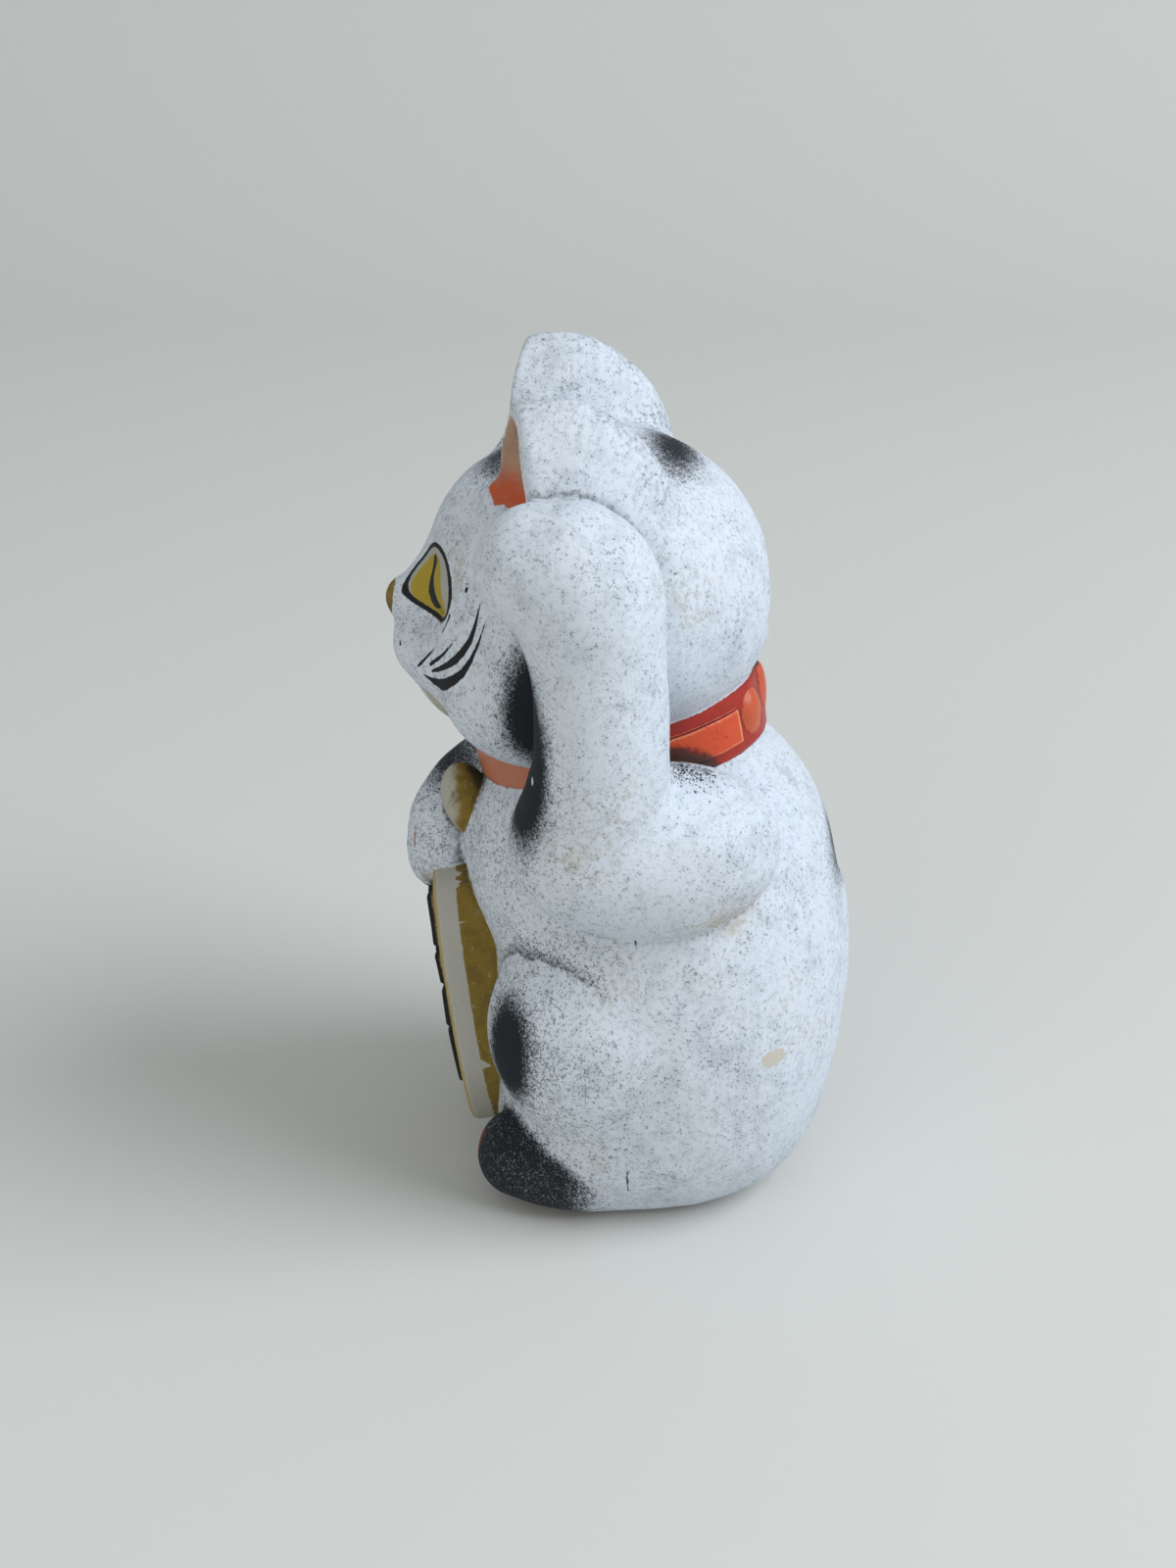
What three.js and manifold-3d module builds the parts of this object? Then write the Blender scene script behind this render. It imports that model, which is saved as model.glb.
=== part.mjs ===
// A clay lucky cat figurine: a seated cat, moulded in one piece and painted.
// It faces -Y, its left arm (on +X) is raised, and its right paw holds a long oval coin in front.
// Lengths are millimetres, +Z is up, and the origin is the middle of the flat underside.
import * as THREE from 'three';
import { LoftGeometry } from 'three/addons/geometries/LoftGeometry.js';
import { mergeVertices } from 'three/addons/utils/BufferGeometryUtils.js';
import Module from 'manifold-3d';

// Trunk: height, front edge, back edge and half width at each level
const TRUNK_LEVELS = [
  [-3, -26, 27, 28],
  [0, -28.5, 32, 32],
  [5, -31, 40, 38.5],
  [14, -32.5, 46, 45.5],
  [28, -32, 50.5, 49.5],
  [45, -32, 53, 51],
  [60, -32.5, 53.2, 50],
  [75, -33.5, 51, 47.5],
  [88, -34, 47.3, 43.5],
  [98, -34, 43, 38.5],
  [105, -33.5, 38, 33.5],
  [110, -32.5, 33, 29],
  [116, -31, 27, 24],
];
const TRUNK_SQUARENESS = 2.25;

// Head: a wide crown with the fuller parts that melt into it, the paired ones at +x and -x
const HEAD_MIDDLE = [0, -5, 143];
const CROWN = { centre: [0, -7, 148.3], radii: [43, 38.5, 35] };
const NAPE = { centre: [0, 2.8, 138.5], radii: [27, 27.3, 20] };
const CHEEK = { centre: [17, -20, 131], radii: [22, 23, 20] };
const MUZZLE = { centre: [6, -41.5, 137], radii: [10, 11, 9.5] };
const NOSE_BRIDGE = { centre: [0, -45.5, 147.5], radii: [5, 8, 5.5] };
const NOSE_TIP = { centre: [0, -51.6, 144.8], radii: [5.2, 4.6, 4.4] };
const CHIN = { centre: [0, -34, 125], radii: [16, 14, 10] };

// Ear: a pointed hood, cut flat in front and scooped out
const EAR = { centre: [27, -17, 168], radii: [15.5, 27, 30.5], lean: 0.1, pointedness: 1.5 };
const EAR_OPENING = { rim: [37, -23.5], turn: 20, wall: 3.6, depth: 6.5 };

// Raised left arm and the shoulder it grows from: x, y, z and radius along the limb
const RAISED_ARM = [
  [45, -9, 105, 17],
  [49.5, -6.3, 125, 14.7],
  [50, -7.2, 148, 14.4],
  [49, -11, 164.2, 16.5],
  [48, -19, 167.5, 13.7],
];
const SHOULDER = { centre: [42, 3.5, 104.5], radii: [17.5, 29, 23.5] };

// Right arm, which comes round in front and lays its paw over the top of the coin
const COIN_SHOULDER = { centre: [-35, 3, 91], radii: [15.5, 24, 21] };
const COIN_ARM = [
  [-37, -4, 92, 13.5],
  [-34, -19, 91, 13.2],
  [-22, -35, 89, 11.5],
  [-10, -42.5, 84.5, 10.6],
  [-7, -44.5, 79, 9.8],
  [-7, -44.8, 76, 9.2],
];

const HAUNCH = { centre: [29.5, -6, 48.5], radii: [22.5, 27, 28.5] };
const HAUNCH_MELT = 2.5;
const FOOT = [
  [31, 12, 8, 8.5],
  [31, -6, 9.3, 9.8],
  [26.5, -24, 11.3, 10.3],
];

// Tail: it lies up the middle of the back and stands this far out of it
const TAIL_LEVELS = [10, 26, 42, 58, 71];
const TAIL_RADIUS = 7;
const TAIL_STANDS_OUT = 1.1;

// Coin: a long oval that leans in at the foot and is sunk in the belly
const COIN = { half_width: 16.5, half_height: 35, thickness: 16, bevel: 1.6, lean: 7.5 };
const COIN_MIDDLE = [0, -34.8, 42.5];
const COIN_SQUARENESS = 2.3;

// Marks on the coin: rows of raised strokes, by height above the coin's middle and half width
const STROKE_ROWS = [
  [23.5, 4.5],
  [18.5, 7.5],
  [11, 5.5],
  [6, 8],
  [-1.5, 7],
  [-6, 4],
  [-13.5, 7.5],
  [-18.5, 6],
  [-23.5, 4],
];
const STROKE_HEIGHT = 2.2;
const STROKE_STANDS_OUT = 1.5;
const STROKE_SPINES = [[20, 12], [3, 12], [-16, 13]];
const STROKE_SPINE_WIDTH = 2.4;

// Collar, with the bell in front and the bow behind
const COLLAR = { centre: [0, -2.5, 115], half_width: 28.1, half_depth: 33.6, height: 13, tilt: 13 };
const COLLAR_EDGE_ROUND = 1.2;
const BELL = { centre: [3, -38.5, 93], radii: [7.5, 6, 9.5], tilt: 18 };
const BOW_LOOP = { centre: [10, 26.6, 119.5], radii: [9.6, 3.6, 6.6], turn: -32 };
const BOW_KNOT = { centre: [0, 30, 120.5], radii: [4.6, 3.4, 7.2] };

// Money slot in the back of the head, cut upright on the middle line
const SLOT = { width: 3, length: 19, depth: 7, middle: 144 };

const CLAY_COLOUR = '#b6bfc8';
const CLAY_ROUGHNESS = 0.85;

const wasm = await Module();
wasm.setup();

// A closed three.js geometry as a solid for joining and cutting
function solid(geometry) {
  const bare = new THREE.BufferGeometry();
  bare.setAttribute('position', geometry.attributes.position);
  bare.setIndex(geometry.index);
  const merged = mergeVertices(bare, 1e-4);
  const mesh = new wasm.Mesh({
    numProp: 3,
    vertProperties: new Float32Array(merged.attributes.position.array),
    triVerts: new Uint32Array(merged.index.array),
  });
  return new wasm.Manifold(mesh);
}

function mirrored([x, y, z]) {
  return [-x, y, z];
}

// Value of a table of levels at height z, on a smooth curve through its rows
function smoothRow(rows, z) {
  const last = rows.length - 1;
  let i = 0;
  while (i < last - 1 && z > rows[i + 1][0]) {
    i += 1;
  }
  const slope = (k, column) => {
    const a = rows[Math.max(k - 1, 0)];
    const b = rows[Math.min(k + 1, last)];
    return (b[column] - a[column]) / (b[0] - a[0]);
  };
  const step = rows[i + 1][0] - rows[i][0];
  const u = THREE.MathUtils.clamp((z - rows[i][0]) / step, 0, 1);
  return rows[i].map((value, column) => {
    const next = rows[i + 1][column];
    const rise = 3 * u * u - 2 * u * u * u;
    const leave = (u * u * u - 2 * u * u + u) * step * slope(i, column);
    const arrive = (u * u * u - u * u) * step * slope(i + 1, column);
    return value * (1 - rise) + next * rise + leave + arrive;
  });
}

// Point of the rounded oval |x/a|^n + |y/b|^n = 1 in the direction of an angle
function ovalPoint(angle, a, b, squareness) {
  const c = Math.cos(angle);
  const s = Math.sin(angle);
  const reach = (Math.abs(c / a) ** squareness + Math.abs(s / b) ** squareness) ** (-1 / squareness);
  return [reach * c, reach * s];
}

// Distance from a point to an egg shape, near enough at its surface, and negative inside
function eggDistance(point, { centre, radii }) {
  const p = point.map((value, i) => value - centre[i]);
  const reach = Math.hypot(...p.map((value, i) => value / radii[i]));
  const slope = Math.hypot(...p.map((value, i) => value / radii[i] ** 2));
  return (reach * (reach - 1)) / Math.max(slope, 1e-6);
}

// The smaller of two distances, rounded over where they are nearly alike
function melt(a, b, width) {
  const overlap = Math.max(width - Math.abs(a - b), 0) / width;
  return Math.min(a, b) - overlap * overlap * width * 0.25;
}

// How far out a direction meets the surface where the distance is nought
function meeting(distanceAt, along, reach) {
  let outer = reach;
  while (distanceAt(along(outer)) > 0) {
    outer -= 1;
  }
  let inner = outer;
  outer += 1;
  for (let halving = 0; halving < 16; halving += 1) {
    const half = (inner + outer) / 2;
    if (distanceAt(along(half)) > 0) {
      outer = half;
    } else {
      inner = half;
    }
  }
  return along(inner);
}

// Trunk and haunches: rings at each level, each pulled in to the melted surface
function body(sides = 44, levels = 24) {
  const bottom = TRUNK_LEVELS[0][0];
  const top = TRUNK_LEVELS[TRUNK_LEVELS.length - 1][0];
  const sections = [];
  for (let level = 0; level <= levels; level += 1) {
    const z = bottom + ((top - bottom) * level) / levels;
    const [, front, back, halfWidth] = smoothRow(TRUNK_LEVELS, z);
    const halfDepth = (back - front) / 2;
    const middle = (back + front) / 2;
    const n = TRUNK_SQUARENESS;
    const distanceAt = (point) => {
      const x = Math.abs(point[0]);
      const y = Math.abs(point[1] - middle);
      const reach = ((x / halfWidth) ** n + (y / halfDepth) ** n) ** (1 / n);
      const edge = reach ** (1 - n);
      const slope = Math.hypot(
        (x / halfWidth) ** (n - 1) / halfWidth,
        (y / halfDepth) ** (n - 1) / halfDepth,
      );
      const trunk = (reach - 1) / (edge * slope);
      return melt(trunk, eggDistance([x, point[1], point[2]], HAUNCH), HAUNCH_MELT);
    };
    const section = [];
    for (let side = 0; side < sides; side += 1) {
      const angle = (2 * Math.PI * side) / sides;
      const along = (t) => [t * Math.cos(angle), middle + t * Math.sin(angle), z];
      section.push(new THREE.Vector3(...meeting(distanceAt, along, 70)));
    }
    sections.push(section);
  }
  return solid(new LoftGeometry(sections, { closed: true, capStart: true, capEnd: true }));
}

// A round limb through points with radii, with rounded ends
function limb(rows, sides, steps) {
  const lengths = [0];
  rows.slice(1).forEach((row, i) => {
    lengths.push(lengths[i] + Math.hypot(row[0] - rows[i][0], row[1] - rows[i][1], row[2] - rows[i][2]));
  });
  const table = rows.map((row, i) => [lengths[i], ...row]);
  const total = lengths[lengths.length - 1];
  const at = (t) => {
    const [, x, y, z, radius] = smoothRow(table, t);
    return { centre: new THREE.Vector3(x, y, z), radius };
  };
  const sections = [];
  let across = new THREE.Vector3(1, 0.2, 0.3);
  const addSection = (centre, along, radius) => {
    across = across.clone().addScaledVector(along, -across.dot(along)).normalize();
    const third = new THREE.Vector3().crossVectors(along, across);
    const section = [];
    for (let side = 0; side < sides; side += 1) {
      const angle = (2 * Math.PI * side) / sides;
      const point = centre.clone().addScaledVector(across, radius * Math.cos(angle));
      section.push(point.addScaledVector(third, radius * Math.sin(angle)));
    }
    sections.push(section);
  };
  const direction = (t) => {
    const before = at(Math.max(t - 0.5, 0)).centre;
    return at(Math.min(t + 0.5, total)).centre.sub(before).normalize();
  };
  const capAngles = [75, 40];
  const cap = (t, sign) => {
    const { centre, radius } = at(t);
    const along = direction(t);
    const angles = sign < 0 ? capAngles : [...capAngles].reverse();
    angles.forEach((degrees) => {
      const angle = THREE.MathUtils.degToRad(degrees);
      const moved = centre.clone().addScaledVector(along, sign * radius * Math.sin(angle));
      addSection(moved, along, radius * Math.cos(angle));
    });
  };
  cap(0, -1);
  for (let step = 0; step <= steps; step += 1) {
    const t = (total * step) / steps;
    const { centre, radius } = at(t);
    addSection(centre, direction(t), radius);
  }
  cap(total, 1);
  return solid(new LoftGeometry(sections, { closed: true, capStart: true, capEnd: true }));
}

// An egg shape, tilted about x and then turned about z
function egg({ centre, radii, tilt = 0, turn = 0 }, columns = 24, rows = 16) {
  const geometry = new THREE.SphereGeometry(1, columns, rows);
  geometry.scale(...radii);
  geometry.rotateX(THREE.MathUtils.degToRad(tilt));
  geometry.rotateZ(THREE.MathUtils.degToRad(turn));
  geometry.translate(...centre);
  return solid(geometry);
}

function mirroredEgg(shape, columns, rows) {
  const other = { ...shape, centre: mirrored(shape.centre), turn: -(shape.turn ?? 0) };
  return egg(shape, columns, rows).add(egg(other, columns, rows));
}

function headDistance(point) {
  const side = [Math.abs(point[0]), point[1], point[2]];
  let distance = eggDistance(point, CROWN);
  distance = melt(distance, eggDistance(point, NAPE), 8);
  distance = melt(distance, eggDistance(side, CHEEK), 8);
  distance = melt(distance, eggDistance(side, MUZZLE), 5);
  distance = melt(distance, eggDistance(point, NOSE_BRIDGE), 4);
  distance = melt(distance, eggDistance(point, NOSE_TIP), 2);
  return melt(distance, eggDistance(point, CHIN), 6);
}

// A sphere swollen until its skin meets the surface where the distance is nought
function swell(distanceAt, middle, columns, rows, crowding = 1, reach = 70) {
  const geometry = new THREE.SphereGeometry(1, columns, rows);
  const skin = geometry.attributes.position;
  const direction = new THREE.Vector3();
  for (let i = 0; i < skin.count; i += 1) {
    direction.fromBufferAttribute(skin, i);
    const fromFront = Math.acos(THREE.MathUtils.clamp(-direction.y, -1, 1)) / Math.PI;
    const angle = Math.PI * fromFront ** crowding;
    const flat = Math.hypot(direction.x, direction.z) || 1;
    const spread = Math.sin(angle) / flat;
    direction.set(direction.x * spread, -Math.cos(angle), direction.z * spread);
    const along = (t) => middle.map((value, axis) => value + t * direction.getComponent(axis));
    skin.setXYZ(i, ...meeting(distanceAt, along, reach));
  }
  return solid(geometry);
}

function head() {
  return swell(headDistance, HEAD_MIDDLE, 38, 32, 1.25);
}

// One ear; side is 1 for the cat's left and -1 for its right
function ear(side) {
  const { centre, radii, lean, pointedness } = EAR;
  const hoodDistance = (point) => {
    const up = point[2] - centre[2];
    const across = Math.abs(side * point[0] - centre[0] - lean * up) / radii[0];
    const rise = Math.abs(up) / radii[2];
    const back = (point[1] - centre[1]) / radii[1];
    return (across ** pointedness + rise ** pointedness) ** (2 / pointedness) + back * back - 1;
  };
  const middle = [side * centre[0], centre[1], centre[2]];
  const hood = swell(hoodDistance, middle, 20, 16, 1, 40);
  const turn = THREE.MathUtils.degToRad(side * EAR_OPENING.turn);
  const rim = [side * EAR_OPENING.rim[0], EAR_OPENING.rim[1], centre[2]];
  const front = new THREE.BoxGeometry(120, 60, 120);
  front.translate(0, -30, 0);
  front.rotateZ(turn);
  front.translate(...rim);
  const scoop = swell(
    (point) => {
      const up = point[2] - centre[2] - 1;
      const across = Math.abs(side * point[0] - centre[0] - lean * up);
      const p = pointedness;
      const wide = across / (radii[0] - EAR_OPENING.wall);
      const high = Math.abs(up) / (radii[2] - EAR_OPENING.wall - 3);
      const dx = point[0] - rim[0];
      const dy = point[1] - rim[1];
      const into = dx * -Math.sin(turn) + dy * Math.cos(turn);
      return (wide ** p + high ** p) ** (2 / p) + (into / EAR_OPENING.depth) ** 2 - 1;
    },
    [middle[0], rim[1] + Math.tan(turn) * (middle[0] - rim[0]), centre[2] + 1],
    14,
    10,
    1,
    40,
  );
  return hood.subtract(solid(front)).subtract(scoop);
}

function tail() {
  const rows = TAIL_LEVELS.map((z) => {
    const back = smoothRow(TRUNK_LEVELS, z)[2];
    return [0, back - TAIL_RADIUS + TAIL_STANDS_OUT, z, TAIL_RADIUS];
  });
  return limb(rows, 10, 6);
}

function coin() {
  const outline = [];
  const corners = 30;
  for (let corner = 0; corner < corners; corner += 1) {
    const angle = (2 * Math.PI * corner) / corners;
    const [x, z] = ovalPoint(
      angle,
      COIN.half_width - COIN.bevel,
      COIN.half_height - COIN.bevel,
      COIN_SQUARENESS,
    );
    outline.push(new THREE.Vector2(x, z));
  }
  const depth = COIN.thickness - 2 * COIN.bevel;
  const plate = new THREE.ExtrudeGeometry(new THREE.Shape(outline), {
    depth,
    bevelThickness: COIN.bevel,
    bevelSize: COIN.bevel,
    bevelSegments: 1,
  });
  plate.translate(0, 0, -depth / 2);
  plate.rotateX(Math.PI / 2);
  let result = solid(plate);
  const face = -COIN.thickness / 2;
  const root = 1;
  const addBar = (width, height, x, z) => {
    const bar = new THREE.BoxGeometry(width, STROKE_STANDS_OUT + root, height);
    bar.translate(x, face + root / 2 - STROKE_STANDS_OUT / 2, z);
    result = result.add(solid(bar));
  };
  STROKE_ROWS.forEach(([z, halfWidth]) => addBar(2 * halfWidth, STROKE_HEIGHT, 0, z));
  STROKE_SPINES.forEach(([z, length]) => addBar(STROKE_SPINE_WIDTH, length, 0, z));
  return result.rotate([COIN.lean, 0, 0]).translate(COIN_MIDDLE);
}

// The collar as a solid oval drum, because the neck fills it
function collar() {
  const half = COLLAR.height / 2;
  const round = COLLAR_EDGE_ROUND;
  const profile = [
    [0, -half],
    [1 - round / COLLAR.half_width, -half],
    [1, -half + round],
    [1, half - round],
    [1 - round / COLLAR.half_width, half],
    [0, half],
  ].map(([radius, height]) => new THREE.Vector2(radius, height));
  const drum = new THREE.LatheGeometry(profile, 40);
  drum.rotateX(Math.PI / 2);
  drum.scale(COLLAR.half_width, COLLAR.half_depth, 1);
  drum.rotateX(THREE.MathUtils.degToRad(COLLAR.tilt));
  drum.translate(...COLLAR.centre);
  return solid(drum).add(mirroredEgg(BOW_LOOP, 12, 8)).add(egg(BOW_KNOT, 10, 8));
}

function slot() {
  const cut = new THREE.BoxGeometry(SLOT.width, 2 * SLOT.depth, SLOT.length);
  const back = CROWN.centre[1] + CROWN.radii[1];
  cut.translate(0, back, SLOT.middle);
  return solid(cut);
}

function ground() {
  const below = new THREE.BoxGeometry(200, 200, 40);
  below.translate(0, 0, -20);
  return solid(below);
}

function cat() {
  const parts = [
    limb(FOOT, 12, 5),
    limb(FOOT.map(([x, y, z, radius]) => [-x, y, z, radius]), 12, 5),
    tail(),
    collar(),
    head(),
    ear(1),
    ear(-1),
    limb(COIN_ARM, 15, 10),
    egg(COIN_SHOULDER, 20, 12),
    egg(SHOULDER, 22, 14),
    limb(RAISED_ARM, 18, 12),
    coin(),
    egg(BELL, 14, 10),
  ];
  const joined = parts.reduce((whole, part) => whole.add(part), body());
  return joined.subtract(slot()).subtract(ground());
}

function meshOf(name, shape) {
  const { vertProperties, triVerts } = shape.getMesh();
  const geometry = new THREE.BufferGeometry();
  geometry.setAttribute('position', new THREE.BufferAttribute(new Float32Array(vertProperties), 3));
  geometry.setIndex(new THREE.BufferAttribute(new Uint32Array(triVerts), 1));
  geometry.computeVertexNormals();
  const clay = new THREE.MeshStandardMaterial({
    color: CLAY_COLOUR,
    roughness: CLAY_ROUGHNESS,
    metalness: 0,
  });
  const mesh = new THREE.Mesh(geometry, clay);
  mesh.name = name;
  return mesh;
}

const figurine = new THREE.Group();
figurine.add(meshOf('lucky_cat', cat()));

export default figurine;
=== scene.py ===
"""A clay lucky cat with a raised paw, moulded in one piece, washed white and painted by hand.

The clay is one smooth surface. It is written as a distance field, in millimetres: a function
that is below nought inside the clay, nought on its skin and above nought outside. Eggs, limbs
and slabs are melted into one another, as a modeller's thumb closes the joints. A grid of cells
finds the skin, and every vertex is then settled on it. The same distances give the painter's
masks, so paint edges follow the creases that they were painted up to.
The cat looks along -Y, its raised left arm is on +X, and it stands on z = 0.
"""

import bmesh
import bpy
import numpy as np
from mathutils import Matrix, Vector


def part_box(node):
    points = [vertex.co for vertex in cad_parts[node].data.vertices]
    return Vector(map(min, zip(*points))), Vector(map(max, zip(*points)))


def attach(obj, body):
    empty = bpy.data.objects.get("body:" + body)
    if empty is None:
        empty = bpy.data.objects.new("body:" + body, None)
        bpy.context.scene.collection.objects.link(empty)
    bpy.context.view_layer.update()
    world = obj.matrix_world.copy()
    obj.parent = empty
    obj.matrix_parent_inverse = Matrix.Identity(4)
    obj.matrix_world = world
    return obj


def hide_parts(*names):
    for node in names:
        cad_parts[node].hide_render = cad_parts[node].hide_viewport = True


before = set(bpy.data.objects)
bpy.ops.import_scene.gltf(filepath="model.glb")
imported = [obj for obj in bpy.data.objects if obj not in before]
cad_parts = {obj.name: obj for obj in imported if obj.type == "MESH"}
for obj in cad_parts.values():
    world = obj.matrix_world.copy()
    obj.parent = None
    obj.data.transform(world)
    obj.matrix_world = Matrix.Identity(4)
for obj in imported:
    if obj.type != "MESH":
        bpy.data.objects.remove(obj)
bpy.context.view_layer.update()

bl_info = {
    "name": "Clay lucky cat",
    "version": (1, 0, 0),
    "blender": (4, 5, 0),
    "location": "View3D > Sidebar > Lucky cat",
    "description": "Sculpts, paints and stages a hand-painted clay lucky cat",
    "category": "Add Mesh",
}

MM = 0.001
SINGLE = np.float32

# The trunk's outline: height, front y, back y and half width at each level
TRUNK_LEVELS = np.array([
    (-3, -26, 27, 28), (0, -28.5, 32, 32), (5, -31, 40, 38.5), (14, -32.5, 46, 45.5),
    (28, -32, 50, 49.5), (45, -32, 52.2, 51), (60, -32.5, 52.2, 50), (75, -33.5, 50.2, 47.5),
    (88, -34, 47.3, 43.5), (98, -32.5, 43, 37.5), (105, -29.5, 38, 31.5), (110, -27, 33, 27),
    (116, -25, 27, 22)], float)
TRUNK_SQUARENESS = 2.25
CHEST = ((0, -13, 84), (32, 26.5, 25))
HAUNCH = ((29.5, -6, 48.5), (22.5, 27, 28.5))
FOOT = [(29, 14, 9.5, 9), (31.5, -4, 10.6, 10), (31, -15, 11, 10.4), (26.5, -25.3, 12, 10.8)]
TAIL_LEVELS = (10, 26, 42, 58, 71)
TAIL_RADIUS = 7.0
TAIL_STANDS_OUT = 1.1
BASE_ROUND = 4

# Head: eggs as (middle, radii), limbs as rows of x, y, z and radius
CROWN = ((0, -7, 148.3), (43, 38.5, 35))
NAPE = ((0, 1.8, 138.5), (27, 27.3, 20))
CHEEK = ((17, -20, 131), (22, 23, 20))
BROW = ((0, -23.5, 157.5), (24, 20, 18))
MUZZLE = ((5, -40.3, 136), (13, 14.2, 12.3))
NOSE_BRIDGE = [(0, -34, 150, 12), (0, -44, 147, 7.5), (0, -50.5, 144.6, 4.9)]
NOSE_TIP = ((0, -52, 144.4), (4.6, 3.9, 4.2))
CHIN = ((0, -34, 125), (16, 14, 10))
EYE_HOLLOW = ((14.5, -52, 149), (9, 9.5, 10))
EYEBALL = ((12.5, -37.5, 152.3), (10, 6.6, 8.4))
EAR = dict(middle=(27, -17, 168), radii=(15.5, 27, 30.5), lean=0.1, pointed=1.5)
EAR_OPENING = dict(rim=(37, -23.5), turn=20, wall=3.6, depth=6.5)
EAR_FOOT = 172
SLOT = dict(width=3.0, length=19.0, depth=7.0, middle=147.5)
SLOT_DENT = ((3.2, 33.5, 148.5), (6, 4.6, 10.5))

# Arms
SHOULDER = ((42, 3, 99.5), (17.5, 28.5, 19.5))
SHOULDER_BACK = ((35, 13, 101), (16, 19, 14.5))
RAISED_ARM = [(45, -9, 105, 17), (49.5, -6.3, 125, 14.7), (50, -7.2, 148, 14.4),
              (49, -11, 164.2, 16.5), (48, -19, 167.5, 13.7)]
COIN_SHOULDER = ((-35, 3, 91), (15.5, 24, 21))
COIN_ARM = [(-37, -4, 92, 13.5), (-34, -19, 91, 13.2), (-22, -35, 89, 11.5),
            (-10, -42.5, 84.5, 10.6), (-7, -44.5, 79, 9.8), (-7, -44.8, 76, 9.2)]

# Coin, collar and bell
COIN_MIDDLE = (0, -34.8, 42.5)
COIN_HALF = (16.5, 8.0, 35.0)
COIN_LEAN = 7.5
COIN_SQUARENESS = 2.3
COIN_ROUND = 1.6
STROKE_ROWS = [(22.5, 6.2, 3), (10.3, 4.4, 4), (-0.3, 4.6, 4), (-15, 8.6, 3)]
STROKE_GAP = 4.4
STROKE_HALF = 1.35
STROKE_SLANT = 0.22
STROKE_RISE = 2.4
COLLAR = dict(middle=(0, -2.5, 114.6), half=(28.1, 33.6), height=15.2, tilt=12)
STRAP = dict(proud=0.9, low=-4.6, high=3.4, end_angle=31)
BELL = ((3, -38.2, 94.6), (6.6, 6, 9.4), 18)
BELL_HOLE = ((8.7, -40.8, 98), (1.3, 1.3, 1.3))
BELL_SLIT = [(8.7, -41, 97.5, 0.8), (7.5, -42.8, 94.5, 0.5), (4, -44.4, 91.5, 0.5), (0, -44.6, 89.5, 0.6)]
BOW_LOOP = ((10.3, 26, 120), (5, 3.4, 6.6), -25)
BOW_KNOT = ((0, 28.6, 121), (4.4, 3, 8.2))

# Brush strokes on both cheeks: rows of x, y, z and half the stroke's width
FACE_STROKES = {
    "lid dash": [(22.9, -39.9, 147.9, 0.35), (20.5, -41.9, 143.1, 0.25)],
    "first whisker": [(20.2, -43.7, 139.1, 0.15), (18.3, -46.2, 135.8, 0.35), (16, -48.5, 132.8, 0.35)],
    "second whisker": [(27.1, -38.2, 144.2, 0.15), (23.6, -41.4, 139.2, 0.4), (19.8, -44.8, 135.2, 0.45)],
    "third whisker": [(31.4, -32.6, 153.7, 0.15), (30.9, -35.1, 145, 0.8), (28.7, -38.2, 140, 1.0),
                      (24.2, -41.6, 136.2, 0.7), (20.1, -44.5, 133.7, 0.35)],
    "last whisker": [(33.3, -31.1, 151.8, 0.1), (32.6, -33.6, 143.9, 0.4), (31.3, -36.6, 137.9, 0.9),
                     (25.1, -41.4, 132.4, 1.4), (19.2, -44.8, 131, 0.9), (16.9, -47.1, 131.7, 0.2)],
    "cheek dot": [(27.3, -35.8, 155.6, 0.5), (27.1, -35.9, 155.1, 0.5)],
    "mouth": [(8, -53.4, 139.6, 0.2), (11.4, -52.3, 136.7, 0.3)],
}
# Eyes as seen from the front: middle x and z, half width and half height
EYE = (13, 152.2, 9.6, 8.2)
IRIS = (12.6, 151.2, 7.6, 7.0)
PUPIL = (11.2, 151.8, 2.7, 6.4)
LID_WIDTH = 0.55
FRONT_OF_FACE = -34
NOSE_PAINT = ((0, -56, 144.8), (5, 3.6, 4.8))
CLAWS = [[(x, -31.4, 172.5, 0.3), (x, -32, 170, 0.6), (x, -32, 167, 0.35)] for x in (42, 48, 54)]
COIN_PAW_CLAWS = [[(x - 2, -51.2, 84.8, 0.2), (x - 1, -51.5, 81.5, 0.4), (x + 0.5, -50.4, 78.5, 0.3)]
                  for x in (-11, -5.5, 0)]
TOE_MARKS = [[(x, -34.5, 18.2, 0.5), (x + 0.8, -36, 15.5, 0.8), (x + 1, -36, 12.8, 0.4)] for x in (20, 26.5, 33)]
CRACKS = [
    [(46.2, 1.3, 80, 0.25), (47.6, 1.8, 74.5, 0.2), (48.4, 1.2, 70, 0.12)],
    [(48.8, -0.2, 26.6, 0.2), (47.6, -0.2, 20.5, 0.3), (44.9, 0.2, 13.4, 0.15)],
    [(46, -3, 25, 0.12), (48.4, -0.2, 24, 0.2)],
]
WHITE_CHIPS = [
    [(16.4, 25, 122.2, 0.45), (16.4, 25.2, 120.6, 0.45)],
    [(23.6, 16.4, 118.4, 0.2), (23.9, 16.6, 116.6, 0.25)],
    [(22.8, 17.8, 118.2, 0.2), (21.9, 19.4, 117.8, 0.25)],
    [(53.5, -21.5, 122.6, 0.8), (54, -21.3, 121.6, 0.8)],
    [(48, -26, 113.2, 0.9), (48.2, -26.2, 112, 0.8)],
    [(46.6, -26.6, 109.4, 0.9), (46.8, -26.6, 108.6, 0.9)],
]
FLAKE = ((44.6, 33, 49.6), (5, 3.6, 2.1))

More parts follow.
